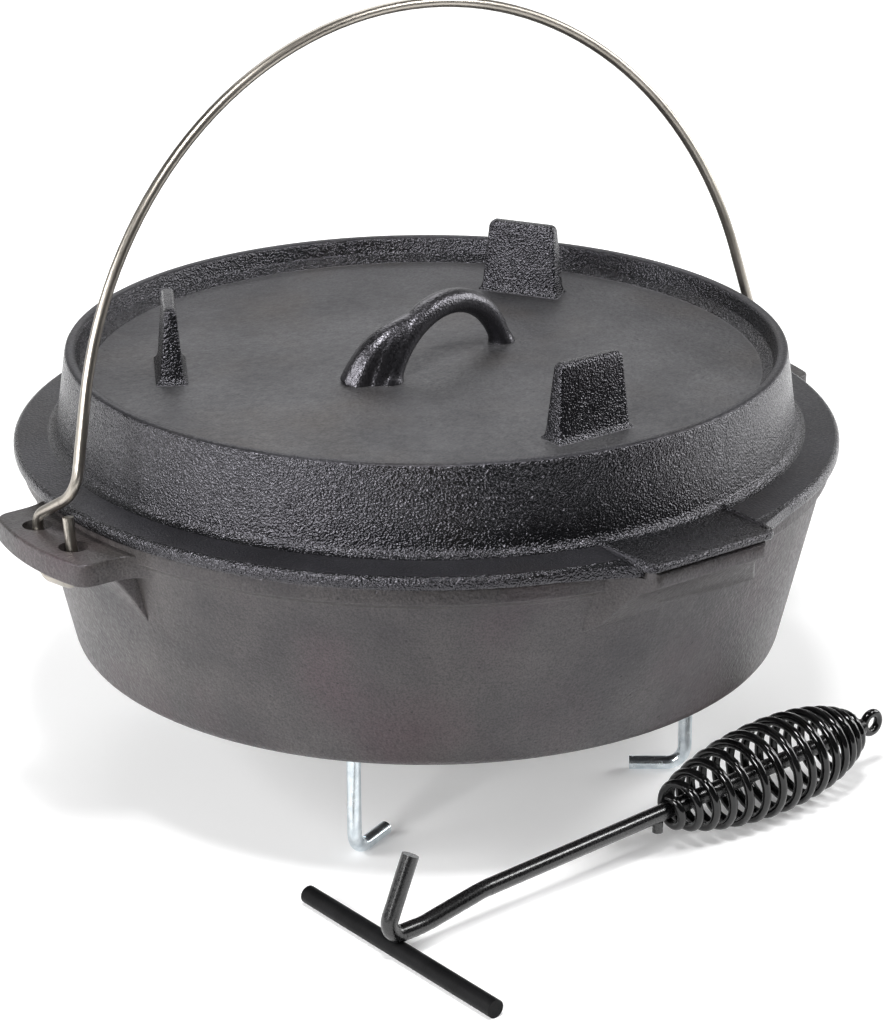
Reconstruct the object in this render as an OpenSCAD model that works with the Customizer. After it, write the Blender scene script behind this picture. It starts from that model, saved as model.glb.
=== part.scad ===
// Camp dutch oven: a cast pot on screwed-in rod feet, a flanged coal lid,
// a wire bail in two cast ears, and a hooked lid lifter with a coil grip.
// Millimetres. Z up, ground at z = 0, pot axis on Z, bail axis along X,
// pour spout towards -Y.

/* [Pot] */
// Outer radius of the wall just under the rim band
mouth_r = 170; // [160:1:185]
// Outer radius at the bottom
base_r = 152; // [140:1:158]
// Height from the underside of the floor to the rim
pot_h = 85; // [75:1:110]
// Wall thickness
pot_wall = 5.5; // [4:0.5:7]
// Floor thickness
floor_t = 7; // [6:0.5:10]
// Radius of the rounded bottom corner
base_corner = 6; // [3:1:12]
// Height of the thicker band at the rim
band_h = 6.5; // [4:0.5:10]
// How far the band stands proud of the wall
band_proud = 1.6; // [0.8:0.2:2.4]

/* [Ears] */
// Distance of the ear holes beyond the lid flange
hole_out = 7.5; // [7:0.5:14]
// Distance from the middle of the holes to the ear's outer edge
ear_lip = 13; // [10:0.5:18]
// Iron left beside the two holes
ear_side = 13.7; // [10:0.1:18]
// How much wider the ear is at the wall, on each side
ear_flare = 5; // [3:1:16]
// How far the ear's outer edge bows out between its corners
ear_bow = 5; // [2:0.5:8]
// Radius of the ear's outer corners
ear_corner = 7; // [4:0.5:10]
// Ear thickness
ear_t = 10; // [8:0.5:12]
// Depth of the ear's top face under the rim
ear_drop = 3.5; // [3:0.5:8]
// Room in a bail hole beyond the wire's diameter
hole_play = 7.4; // [7.4:0.1:9]
// Distance between the two holes of an ear
hole_gap = 28.6; // [26:0.2:40]
// Height of the gusset under an ear
gusset_h = 20; // [14:1:28]
// How far the gusset stands in from the ear's sides
gusset_in = 2.5; // [0.5:0.5:6]

/* [Spout] */
// Width of the pour lip
spout_w = 57; // [44:1:66]
// Reach of the pour lip beyond the rim band
spout_out = 14.4; // [10:0.2:18]
// Rise of the pour lip above the rim
spout_lift = 3.5; // [2:0.25:5]
// Thickness of the pour lip at its edge
lip_t = 6.5; // [4:0.5:9]
// Height over which the lip flares into the wall, below the rim band
lip_flare = 10; // [4:0.5:30]
// Thickness of the lid's tab over the lip
tab_t = 3.2; // [2.4:0.2:5]
// Radius of the tab's outer corners
tab_corner = 5; // [2:0.5:10]

/* [Lid] */
// Overhang of the flange beyond the rim band
flange_over = 3.4; // [2:0.2:5]
// Width of the flange outside the lid wall
flange_w = 18; // [15:0.5:24]
// Thickness of the flange at its edge
flange_t = 5.4; // [4.4:0.2:7]
// Fall of the flange from the wall to its edge
flange_fall = 1.8; // [0.6:0.2:3]
// Height from the underside of the flange to the top of the rim
lid_h = 42.5; // [36:0.5:55]
// How far the lid wall leans in from flange to rim
lid_draft = 4.8; // [2:0.2:8]
// Thickness of the lid wall
lid_wall = 6; // [5:0.5:8]
// Width of the upstanding rim
rim_t = 4.6; // [3.6:0.2:6]
// Depth of the coal tray under the rim
tray_d = 10.8; // [8:0.2:14]
// Thickness of the lid plate
plate_t = 6; // [5:0.5:8]
// Depth of the locating ring below the flange
ring_h = 4; // [2:0.5:6]
// Thickness of the locating ring
ring_t = 6; // [4:0.5:9]

/* [Lid legs and loop] */
// Radius of the circle that the lid legs stand on
leg_r = 108; // [95:1:118]
// How far the legs stand above the loop
leg_over = 0.5; // [0.5:0.5:8]
// Width of a leg at its foot
leg_w = 36; // [30:1:42]
// Width of a leg at its top
leg_top_w = 31; // [22:1:34]
// Thickness of a leg at its foot
leg_t = 10; // [8:0.5:12]
// Thickness of a leg at its top
leg_top_t = 5; // [4:0.5:7.5]
// Radius of the leg's top corners
leg_corner = 3; // [1:0.5:8]
// Distance between the feet of the loop, centre to centre
loop_span = 71; // [62:1:80]
// Height of the loop above the plate
loop_h = 31.5; // [28:0.5:40]
// Thickness of the loop
loop_d = 11; // [9:0.2:13]
// Place of the loop's middle beside the lid's axis, along X
loop_x = 7; // [-8:0.5:8]
// Place of the loop's middle beside the lid's axis, along Y
loop_y = -4; // [-8:0.5:8]
// Turn of the loop from X, in degrees
loop_turn = 11; // [-15:1:15]
// Width of the fillet round the loop's feet
loop_fillet = 2; // [1:0.25:3]
// Diameter of the flare at the loop's near foot
loop_flare_d = 14; // [11:0.5:16]

/* [Bail] */
// Wire diameter
wire_d = 4.6; // [4:0.1:5.5]
// How far the bow's legs stand inside the ear holes
bow_in = 8.5; // [6:0.5:10]
// Height of the bow's centre above the ears
bow_rise = 16.5; // [14:0.5:24]
// How much closer the two sides of a hooked end stand than the holes
hook_inset = 2.6; // [2:0.2:3.6]
// Clear drop of the hook below the ear
hook_drop = 6; // [5:0.5:14]
// Height above the ear where the wire turns in towards the bow
knuckle_h = 6; // [5:0.5:9]
// Height of the stub end above the ear
stub_h = 9.5; // [8:0.5:15]
// Lean of the standing bail from upright, in degrees
bail_lean = 8.5; // [0:0.5:12]

/* [Feet] */
// Rod diameter
foot_d = 6; // [5:0.25:8]
// Height of the pot's underside above the ground
foot_drop = 60; // [52:1:75]
// Radius of the circle of the feet
foot_r = 115.6; // [105:0.2:122]
// Turn of the four feet from the diagonals, in degrees
foot_turn = -6.3; // [-12:0.1:12]
// Length of the bent arm from the foot's axis
foot_arm = 24; // [20:1:28]
// Radius of the bend, at the middle of the rod
foot_bend = 8; // [6:0.5:12]
// Iron round the foot holes in the bosses
boss_wall = 5; // [3:0.25:8]
// Height of the bosses below the floor
boss_h = 6; // [4:0.5:10]
// Floor left above the foot holes
floor_left = 3; // [2:0.5:4]

/* [Lifter] */
// Diameter of the hooked rod
rod_d = 7; // [6:0.25:8]
// Diameter of the cross bar
bar_d = 7.5; // [6.5:0.25:9]
// Length of the cross bar
bar_len = 116; // [90:1:140]
// Height of the hook above the ground
hook_h = 43; // [40:1:52]
// Length of bare rod from the cross bar to the grip
shank_len = 141; // [115:1:170]
// Distance of the cross bar in front of the circle of the feet
lifter_out = 35; // [35:1:80]
// Distance of the cross bar to the left of the pot axis
lifter_left = 124.5; // [110:0.5:150]

/* [Coil grip] */
// Length of the coil between the middles of its ends
grip_len = 109; // [100:1:130]
// Largest outer diameter of the coil
grip_d = 40.6; // [36:0.2:44]
// Gap between the rod and the coil's end turns
grip_gap = 0.4; // [0.3:0.1:2]
// Wire diameter of the coil
grip_wire = 3.8; // [3:0.1:4]
// Number of turns
grip_turns = 15; // [11:1:15]
// Outer diameter of the hanging eye
eye_d = 12.5; // [10.5:0.5:15]

/* [Hidden] */
$fn = 64;
round_fn = 192;
// Gap between the lid and the rim that it rests on
seat_gap = 0.3;
// Radial clearance of a foot in its hole
foot_clear = 0.05;
// Gap above the end of a foot
foot_end_gap = 0.3;
// Room between the hooked wire and the gusset under an ear
hook_clear = 5;
// Play of the lid's tab round the pour lip
key_gap = 1;
// Gap above the pour lip
tab_gap = 0.8;
// Play of the locating ring in the mouth of the pot
ring_gap = 2;
// Rounding of the flange's upper and lower edge
edge_top = 2.4;
edge_low = 1.6;
// Radius of the hollow between flange and lid wall, and its middle beside the wall's foot
fillet_r = 4.8;
fillet_at = [4, 4.4];
// How far the side of the coal tray leans in
tray_slope = 4;
// Width and height of the slope under the lid plate's edge
under_w = 6;
// Flare of the loop's near foot: its middle beside the foot, where it joins the bar, and its width there
flare_at = [-8.6, 10.4];
flare_top = [8.5, 2, 16];
flare_top_d = 8;
// Depth by which the loop runs into the plate
loop_sink = 1;
// Overlap that joins castings and welds
lap = 0.4;
// Bends are drawn thinner than the straight rod by this much, as bending leaves them
bend_thin = 0.08;
// Length by which a bend runs into the straight rod
bend_lap = 0.6;

base_z = foot_drop;
rim_z = base_z + pot_h;
band_r = mouth_r + band_proud;
mouth_in = mouth_r - pot_wall;
flange_r = band_r + flange_over;
hole_x = flange_r + hole_out;
ear_x = hole_x + ear_lip;
ear_top = rim_z - ear_drop;
ear_mid = ear_top - ear_t / 2;
spout_y = band_r + spout_out;
lid_z = rim_z + seat_gap;
lid_foot_r = flange_r - flange_w;
rim_r = lid_foot_r - lid_draft;
lid_top = lid_z + lid_h;
plate_z = lid_top - tray_d;
tab_z = rim_z + spout_lift + tab_gap + tab_t;
leg_h = loop_h + leg_over;
hole_d = wire_d + hole_play;
hook_gap = hole_gap - hook_inset;
ear_w = hole_gap + hole_d + 2 * ear_side;
ear_root_w = ear_w + 2 * ear_flare;
boss_d = foot_d + 2 * boss_wall;
foot_hole = boss_h + floor_t - floor_left;
grip_end_d = rod_d + 2 * (grip_wire + grip_gap);
foot_angles = [225, 315, 45, 135];
// Way each arm points, in degrees from the foot's own inward line
foot_swings = [-16, 14, 6, -9];
// Way the lifter points, in degrees from X
lifter_turn = 2.7;
bar_at = [-lifter_left, -(foot_r + lifter_out)];
// Lifter rod: hook tip and heel, then the stretch that rises to the grip
hook_tip_x = 6;
hook_heel_x = -7.5;
hook_bend = 6;
rise_x = [12, 42];
rise_bend = 40;
// Rod beyond the coil
rod_over = 5.5;
// Stop pin: size, and distance before the coil
pin_d = 4.5;
pin_back = 5;
// Bends of the bail from the bow to the stub
bail_bends = [0, 15, 7, 6, 6, 0];
// Slope of the rod through the grip, in degrees, and room of the coil above the ground
rod_slope = 1.75;
coil_room = 0.1;
// Share of the grip's length where the coil is widest
coil_mid = 0.55;
// Shares that open the turns at the hook end and close them at the eye end
coil_lead = 0.05;
coil_close = 0.03;
rod_low = bar_d + rod_d / 2 - lap;

function unit(v) = v / norm(v);
function polar(r, a) = [r * cos(a), r * sin(a)];

// Rods: straight runs and true bends along a list of points

function bend_cut(p, i, radii) =
    let (a = unit(p[i - 1] - p[i]), b = unit(p[i + 1] - p[i]))
    radii[i] / tan(acos(a * b) / 2);

function run_end(p, i, j, radii) =
    i == 0 || i == len(p) - 1 ? p[i] : p[i] + unit(p[j] - p[i]) * bend_cut(p, i, radii);

module cone_run(a, b, r_a, r_b) {
    d = b - a;
    translate(a)
        rotate([0, acos(d.z / norm(d)), atan2(d.y, d.x)])
            cylinder(r1 = r_a, r2 = r_b, h = norm(d));
}

module rod_run(a, b, r) {
    if (norm(b - a) > 0.01)
        cone_run(a, b, r, r);
}

module rod_bend(p, i, radii, r) {
    a = unit(p[i - 1] - p[i]);
    b = unit(p[i + 1] - p[i]);
    open = acos(a * b);
    middle = p[i] + unit(a + b) * radii[i] / sin(open / 2);
    ex = unit(p[i] + a * bend_cut(p, i, radii) - middle);
    ez = cross(ex, -a);
    over = bend_lap / radii[i] * 180 / PI;
    multmatrix([[ex.x, -a.x, ez.x, middle.x],
                [ex.y, -a.y, ez.y, middle.y],
                [ex.z, -a.z, ez.z, middle.z],
                [0, 0, 0, 1]])
        rotate(-over)
            rotate_extrude(angle = 180 - open + 2 * over, $fn = round_fn)
                translate([radii[i], 0])
                    circle(r = r - bend_thin, $fn = 32);
}

module bent_rod(p, radii, d) {
    for (i = [0 : len(p) - 2])
        rod_run(run_end(p, i, i + 1, radii), run_end(p, i + 1, i, radii), d / 2);
    for (i = [1 : len(p) - 2])
        rod_bend(p, i, radii, d / 2);
}

// Pot

// Half section of a tapering bowl with a rounded bottom corner
module bowl_section(r_low, r_high, z_low, z_high, corner) {
    c = [r_low - corner, z_low + corner];
    d = [r_high, z_high] - c;
    a = atan2(d.y, d.x) - acos(corner / norm(d));
    polygon([[0, z_low], [c.x, z_low], c + polar(corner, a), [r_high, z_high], [0, z_high]]);
    intersection() {
        translate(c) circle(r = corner);
        translate([0, z_low]) square([r_low + corner, z_high - z_low]);
    }
}

module pot_cavity() {
    rotate_extrude($fn = round_fn)
        bowl_section(base_r - pot_wall, mouth_in, base_z + floor_t, rim_z + 0.01, base_corner);
}

module pot_body() {
    rotate_extrude($fn = round_fn) {
        bowl_section(base_r, mouth_r, base_z, rim_z, base_corner);
        edge = 1;
        band_low = rim_z - band_h - band_proud;
        polygon([[mouth_in, band_low], [mouth_r - lap, band_low], [band_r, rim_z - band_h],
                 [band_r, rim_z - edge], [band_r - edge, rim_z], [mouth_in, rim_z]]);
    }
}

module ear() {
    root_x = mouth_r - 2 * pot_wall;
    foot_x = root_x - pot_wall;
    tip_x = hole_x - wire_d / 2 - hook_clear;
    // outer edge on a wide arc, with rounded corners inside it
    side_y = ear_w / 2 - ear_corner;
    bow = (ear_w * ear_w / 4 + ear_bow * ear_bow) / (2 * ear_bow);
    corner_x = ear_x - bow + sqrt(pow(bow - ear_corner, 2) - side_y * side_y);
    edge_y = side_y * bow / (bow - ear_corner);
    translate([0, 0, ear_top - ear_t])
        linear_extrude(ear_t) {
            polygon([[root_x, ear_root_w / 2], [corner_x, ear_w / 2], [corner_x, -ear_w / 2],
                     [root_x, -ear_root_w / 2]]);
            intersection() {
                translate([ear_x - bow, 0]) circle(r = bow, $fn = round_fn);
                translate([root_x, -edge_y]) square([ear_x - root_x, 2 * edge_y]);
            }
            for (side = [-1, 1])
                translate([corner_x, side * side_y]) circle(r = ear_corner);
        }
    // gusset from the ear's underside to the wall, clear of the hooked wire
    rotate([90, 0, 0])
        translate([0, 0, gusset_in - ear_w / 2])
            linear_extrude(ear_w - 2 * gusset_in)
                polygon([[foot_x, ear_top - ear_t + lap], [tip_x, ear_top - ear_t + lap],
                         [tip_x, ear_top - ear_t], [root_x, ear_top - ear_t - gusset_h],
                         [foot_x, ear_top - ear_t - gusset_h]]);
}

module ear_holes() {
    for (side = [-1, 1])
        translate([hole_x, side * hole_gap / 2, ear_top - ear_t - 1])
            cylinder(d = hole_d, h = ear_t + 2);
}

// Pour lip: flat on top, flared into the wall below
module pour_lip() {
    top = rim_z + spout_lift;
    low = rim_z - band_h - lip_flare;
    inside = 2 * pot_wall - mouth_r;
    edge = 1;
    rotate([90, 0, 90])
        translate([0, 0, -spout_w / 2])
            linear_extrude(spout_w)
                polygon([[-spout_y, top - edge], [edge - spout_y, top], [edge - band_r, top],
                         [edge - band_r, rim_z - edge], [inside, rim_z - edge], [inside, low],
                         [pot_wall - mouth_r, low], [-spout_y, top - lip_t]]);
}

module pot() {
    color("dimgray")
        difference() {
            union() {
                pot_body();
                pour_lip();
                for (side = [0, 180]) rotate(side) ear();
                for (a = foot_angles)
                    translate([each polar(foot_r, a + foot_turn), base_z - boss_h])
                        cylinder(d = boss_d, h = boss_h + 1);
            }
            pot_cavity();
            for (side = [0, 180]) rotate(side) ear_holes();
            for (a = foot_angles)
                translate([each polar(foot_r, a + foot_turn), base_z - boss_h - 1])
                    cylinder(d = foot_d + 2 * foot_clear, h = foot_hole + 1);
        }
}

// Lid

module lid_section() {
    flange_top = lid_z + flange_t;
    foot_top = flange_top + flange_fall;
    round_r = rim_t / 2;
    fillet = [lid_foot_r + fillet_at.x, foot_top + fillet_at.y];
    // flange with a rounded edge
    polygon([[lid_foot_r - lid_wall, lid_z], [flange_r - edge_low, lid_z], [flange_r, lid_z + edge_low],
             [flange_r, flange_top - edge_top], [flange_r - edge_top, flange_top],
             [lid_foot_r - lid_wall, foot_top]]);
    translate([flange_r - edge_top, flange_top - edge_top]) circle(r = edge_top);
    translate([flange_r - edge_low, lid_z + edge_low]) circle(r = edge_low);
    // concave fillet between flange and wall
    difference() {
        polygon([[lid_foot_r - lid_wall, foot_top - 2 * lap], [fillet.x, foot_top - 2 * lap],
                 [lid_foot_r - lap, fillet.y], [lid_foot_r - lid_wall, fillet.y]]);
        translate(fillet) circle(r = fillet_r);
    }
    // wall and plate
    polygon([[lid_foot_r, foot_top - 2 * lap], [rim_r, lid_top - round_r], [rim_r - rim_t, lid_top - round_r],
             [rim_r - rim_t - tray_slope, plate_z], [0, plate_z], [0, plate_z - plate_t],
             [rim_r - lid_wall - under_w, plate_z - plate_t],
             [rim_r - lid_wall, plate_z - plate_t - under_w],
             [lid_foot_r - lid_wall, foot_top - 2 * lap]]);
    translate([rim_r - round_r, lid_top - round_r]) circle(r = round_r);
    // locating ring inside the pot's mouth
    translate([mouth_in - ring_gap - ring_t, lid_z - ring_h]) square([ring_t, ring_h + lap]);
}

module lid_leg() {
    top_x = leg_top_w / 2 - leg_corner;
    top_z = leg_h - leg_corner;
    intersection() {
        rotate([90, 0, 0])
            translate([0, 0, -leg_t])
                linear_extrude(2 * leg_t) {
                    polygon([[-leg_w / 2, -lap], [leg_w / 2, -lap], [leg_top_w / 2, top_z], [top_x, leg_h],
                             [-top_x, leg_h], [-leg_top_w / 2, top_z]]);
                    for (side = [-1, 1])
                        translate([side * top_x, top_z]) circle(r = leg_corner);
                }
        rotate([90, 0, 90])
            translate([0, 0, -leg_w])
                linear_extrude(2 * leg_w)
                    polygon([[-leg_t / 2, -lap], [leg_t / 2, -lap], [leg_top_t / 2, leg_h],
                             [-leg_top_t / 2, leg_h]]);
    }
}

module lid_loop() {
    rise = loop_h - loop_d / 2;
    arch_r = (pow(loop_span / 2, 2) + rise * rise) / (2 * rise);
    near = [-loop_span / 2, 0, 0];
    low = near + [flare_at.x, flare_at.y, 0];
    high = near + flare_top;
    intersection() {
        union() {
            translate([0, 0, rise - arch_r])
                rotate([90, 0, 0])
                    rotate_extrude($fn = round_fn)
                        translate([arch_r, 0]) circle(d = loop_d);
            cone_run(low - unit(high - low) * loop_flare_d / 2, high, loop_flare_d / 2, flare_top_d / 2);
        }
        translate([-loop_span, -loop_span, -loop_sink]) cube([2 * loop_span, 2 * loop_span, 2 * loop_h]);
    }
    for (side = [-1, 1])
        translate([side * loop_span / 2, 0, -loop_sink])
            cylinder(d1 = loop_d + 2 * loop_fillet, d2 = loop_d, h = loop_sink + 2 * loop_fillet);
}

// Tab that covers the pour lip, level with the foot of the lid wall
module lid_tab() {
    tab_w = spout_w + 2 * key_gap + 2 * tab_t;
    out = spout_y + key_gap;
    inside = lid_foot_r - lid_wall / 2;
    translate([0, 0, tab_z - tab_t])
        linear_extrude(tab_t) {
            polygon([[-tab_w / 2, -inside], [-tab_w / 2, tab_corner - out], [tab_corner - tab_w / 2, -out],
                     [tab_w / 2 - tab_corner, -out], [tab_w / 2, tab_corner - out], [tab_w / 2, -inside]]);
            for (side = [-1, 1])
                translate([side * (tab_w / 2 - tab_corner), tab_corner - out]) circle(r = tab_corner);
        }
}

module lid() {
    color("slategray")
        difference() {
            union() {
                rotate_extrude($fn = round_fn) lid_section();
                lid_tab();
                translate([loop_x, loop_y, plate_z]) rotate(loop_turn) lid_loop();
                for (a = [30, 150, 270])
                    rotate(a - 90) translate([0, leg_r, plate_z]) lid_leg();
            }
            // room for the raised pour lip under the tab
            translate([-spout_w / 2 - key_gap, -2 * spout_y, rim_z - lid_h])
                cube([spout_w + 2 * key_gap, 2 * (spout_y + key_gap) - band_r,
                      lid_h + spout_lift + tab_gap]);
        }
}

// Bail

bow_r = hole_x - bow_in;
bow_z = ear_mid + bow_rise;
// The bow stands over the stub ends
bow_y = -hook_gap / 2;
// Angle above the bow's centre where its straight legs start
bow_end = 14;
// Length of a straight leg down to the knee
knee_run = 37;

function bail_side(s) =
    let (low = ear_top - ear_t - hook_drop - wire_d / 2,
         y = hook_gap / 2,
         end = [bow_r * cos(bow_end), bow_z + bow_r * sin(bow_end)],
         knee = end + knee_run * [sin(bow_end), -cos(bow_end)])
    [[s * end.x, bow_y, end.y],
     [s * knee.x, bow_y, knee.y],
     [s * hole_x, y, ear_top + knuckle_h],
     [s * hole_x, y, low],
     [s * hole_x, -y, low],
     [s * hole_x, -y, ear_top + stub_h]];

module bail() {
    over = bend_lap / bow_r * 180 / PI;
    color("silver")
        translate([0, 0, ear_mid])
            rotate([-bail_lean, 0, 0])
                translate([0, 0, -ear_mid]) {
                    translate([0, bow_y, bow_z])
                        rotate([90, 0, 0])
                            rotate(bow_end - over)
                                rotate_extrude(angle = 180 - 2 * bow_end + 2 * over, $fn = round_fn)
                                    translate([bow_r, 0]) circle(d = wire_d - 2 * bend_thin, $fn = 32);
                    for (s = [-1, 1])
                        bent_rod(bail_side(s), bail_bends, wire_d);
                }
}

// Feet

module foot(i) {
    at = polar(foot_r, foot_angles[i] + foot_turn);
    tip = at + polar(foot_arm, foot_angles[i] + foot_turn + 180 + foot_swings[i]);
    top = base_z - boss_h + foot_hole - foot_end_gap;
    color("lightsteelblue")
        bent_rod([[at.x, at.y, top], [at.x, at.y, foot_d / 2], [tip.x, tip.y, foot_d / 2]],
                 [0, foot_bend, 0], foot_d);
}
module foot_front() { foot(0); }
module foot_right() { foot(1); }
module foot_back() { foot(2); }
module foot_left() { foot(3); }

// Lifter, along its own X from the cross bar

module lifter_place() {
    translate([bar_at.x, bar_at.y, 0]) rotate(lifter_turn) children();
}

rod_end = shank_len + grip_len + rod_over;
// Height of the rod's axis along the grip
function rod_z(x) = grip_d / 2 + coil_room + (x - shank_len - coil_mid * grip_len) * tan(rod_slope);

module lifter_shank() {
    color([0.12, 0.12, 0.13])
        lifter_place()
            bent_rod([[hook_tip_x, 0, hook_h], [hook_heel_x, 0, rod_low], [rise_x[0], 0, rod_low],
                      [rise_x[1], 0, rod_z(rise_x[1])], [rod_end, 0, rod_z(rod_end)]],
                     [0, hook_bend, rise_bend, rise_bend, 0], rod_d);
}

module lifter_crossbar() {
    color([0.2, 0.2, 0.21])
        lifter_place()
            translate([0, bar_len / 2, bar_d / 2])
                rotate([90, 0, 0]) cylinder(d = bar_d, h = bar_len);
}

module lifter_stop_pin() {
    color([0.3, 0.3, 0.32])
        lifter_place()
            translate([shank_len - pin_back, 0, rod_z(shank_len - pin_back) - rod_d / 2 - pin_d])
                cylinder(d = pin_d, h = pin_d + lap);
}

module lifter_eye() {
    mean = (eye_d - grip_wire) / 2;
    at = rod_end + mean + grip_wire / 2 - lap;
    color([0.25, 0.25, 0.26])
        lifter_place()
            translate([at, 0, rod_z(at)])
                rotate([90, 0, 0])
                    rotate_extrude() translate([mean, 0]) circle(d = grip_wire, $fn = 32);
}

// Coil grip: one tube wound to a spindle, with straight ends

coil_steps = 12;
coil_sides = 8;
coil_n = grip_turns * coil_steps;
function coil_mean(t) =
    (grip_end_d + (grip_d - grip_end_d) * pow(sin(180 * t), 0.8) - grip_wire) / 2;
// Turns lie closer at the ends than in the middle
function coil_x(t) = shank_len + grip_len * (t + coil_lead * sin(180 * t) - coil_close * sin(360 * t));
function coil_point(i) =
    let (t = i / coil_n, a = 360 * i / coil_steps + 90)
    [coil_x(t), coil_mean(t) * cos(a), rod_z(coil_x(t)) + coil_mean(t) * sin(a)];
function coil_way(i) = unit(coil_point(min(i + 1, coil_n)) - coil_point(max(i - 1, 0)));
coil_path = concat([coil_point(0) - coil_way(0) * grip_wire],
                   [for (i = [0 : coil_n]) coil_point(i)],
                   [coil_point(coil_n) + coil_way(coil_n) * grip_wire]);
function ring_at(i) =
    let (n = len(coil_path),
         way = unit(coil_path[min(i + 1, n - 1)] - coil_path[max(i - 1, 0)]),
         side = unit(cross([1, 0, 0], way)),
         up = cross(way, side))
    [for (k = [0 : coil_sides - 1])
        coil_path[i] + (side * cos(360 * k / coil_sides) + up * sin(360 * k / coil_sides)) * grip_wire / 2];
// Least gap between one turn and the next, measured on the path's points
coil_gaps = [for (i = [0 : coil_n - coil_steps])
    for (j = [i + coil_steps - 3 : min(i + coil_steps + 3, coil_n)])
        norm(coil_point(i) - coil_point(j)) - grip_wire];
echo(coil_least_gap = min(coil_gaps));

module lifter_grip() {
    n = len(coil_path);
    m = coil_sides;
    rings = [for (i = [0 : n - 1]) each ring_at(i)];
    last = (n - 1) * m;
    ends = [for (k = [1 : m - 2]) each [[0, k, k + 1], [last, last + k + 1, last + k]]];
    sides = [for (i = [0 : n - 2]) for (k = [0 : m - 1])
        let (a = i * m + k, b = i * m + (k + 1) % m)
        each [[a, a + m, b], [b, a + m, b + m]]];
    color([0.05, 0.05, 0.05])
        lifter_place() polyhedron(points = rings, faces = concat(ends, sides));
}

pot();
lid();
bail();
foot_front();
foot_right();
foot_back();
foot_left();
lifter_shank();
lifter_crossbar();
lifter_grip();
lifter_eye();
lifter_stop_pin();
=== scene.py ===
import math

import bpy
from mathutils import Matrix, Vector


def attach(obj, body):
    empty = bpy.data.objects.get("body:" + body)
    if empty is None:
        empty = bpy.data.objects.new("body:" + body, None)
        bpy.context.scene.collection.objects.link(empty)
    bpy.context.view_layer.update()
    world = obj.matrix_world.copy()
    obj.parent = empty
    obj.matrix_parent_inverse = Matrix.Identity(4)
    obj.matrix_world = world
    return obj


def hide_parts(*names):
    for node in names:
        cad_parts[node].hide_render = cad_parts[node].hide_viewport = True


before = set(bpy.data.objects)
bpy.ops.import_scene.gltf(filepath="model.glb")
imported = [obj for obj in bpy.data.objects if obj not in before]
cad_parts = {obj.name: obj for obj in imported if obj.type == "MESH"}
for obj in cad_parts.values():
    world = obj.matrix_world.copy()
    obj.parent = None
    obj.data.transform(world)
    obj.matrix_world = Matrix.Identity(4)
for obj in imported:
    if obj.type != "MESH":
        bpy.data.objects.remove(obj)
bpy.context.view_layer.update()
mm = 0.001


# small tools

def hexColor(text):  # sRGB hex to linear
    parts = [int(text[i:i + 2], 16) / 255 for i in (1, 3, 5)]
    return [p / 12.92 if p <= 0.04045 else ((p + 0.055) / 1.055) ** 2.4 for p in parts] + [1.0]


def perMetre(size):  # texture scale for a pattern of this many millimetres
    return 1000 / size


def onlyThis(obj):
    if bpy.context.object and bpy.context.object.mode != "OBJECT":
        bpy.ops.object.mode_set(mode="OBJECT")
    bpy.ops.object.select_all(action="DESELECT")
    if obj:
        obj.select_set(True)
        bpy.context.view_layer.objects.active = obj


def leaveEdit(obj):
    bpy.ops.mesh.select_all(action="SELECT")
    bpy.ops.mesh.normals_make_consistent(inside=False)
    bpy.ops.object.mode_set(mode="OBJECT")
    bpy.ops.object.transform_apply(location=True, rotation=True, scale=True)
    return obj


def roundedProfile(corners, steps=5):  # corners are (r, z, fillet) in mm, fillets become arcs
    out = []
    for i, (x, z, fillet) in enumerate(corners):
        p = Vector((x, z))
        if fillet == 0 or i in (0, len(corners) - 1):
            out.append(p)
            continue
        a = (Vector(corners[i - 1][:2]) - p).normalized()
        b = (Vector(corners[i + 1][:2]) - p).normalized()
        half = a.angle(b) / 2
        middle = p + (a + b).normalized() * fillet / math.sin(half)
        start = p + a * fillet / math.tan(half) - middle
        turn = start.angle_signed(p + b * fillet / math.tan(half) - middle)
        for k in range(steps + 1):
            out.append(middle + Matrix.Rotation(-turn * k / steps, 2) @ start)
    return out


def turnedBody(name, corners, steps=192):  # a disc, then ring after ring, closed on the axis
    rings = [p * mm for p in roundedProfile(corners)]
    onlyThis(None)
    bpy.ops.mesh.primitive_circle_add(vertices=steps, radius=rings[0].x, fill_type="TRIFAN",
                                      location=(0, 0, rings[0].y))
    obj = bpy.context.object
    obj.name = name
    bpy.ops.object.mode_set(mode="EDIT")
    bpy.ops.mesh.region_to_loop()
    for last, ring in zip(rings, rings[1:]):
        bpy.ops.mesh.extrude_edges_move(TRANSFORM_OT_translate={"value": (0, 0, ring.y - last.y)})
        k = ring.x / last.x
        bpy.ops.transform.resize(value=(k, k, 1), center_override=(0, 0, ring.y))
    bpy.ops.mesh.merge(type="CENTER")
    return leaveEdit(obj)


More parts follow.
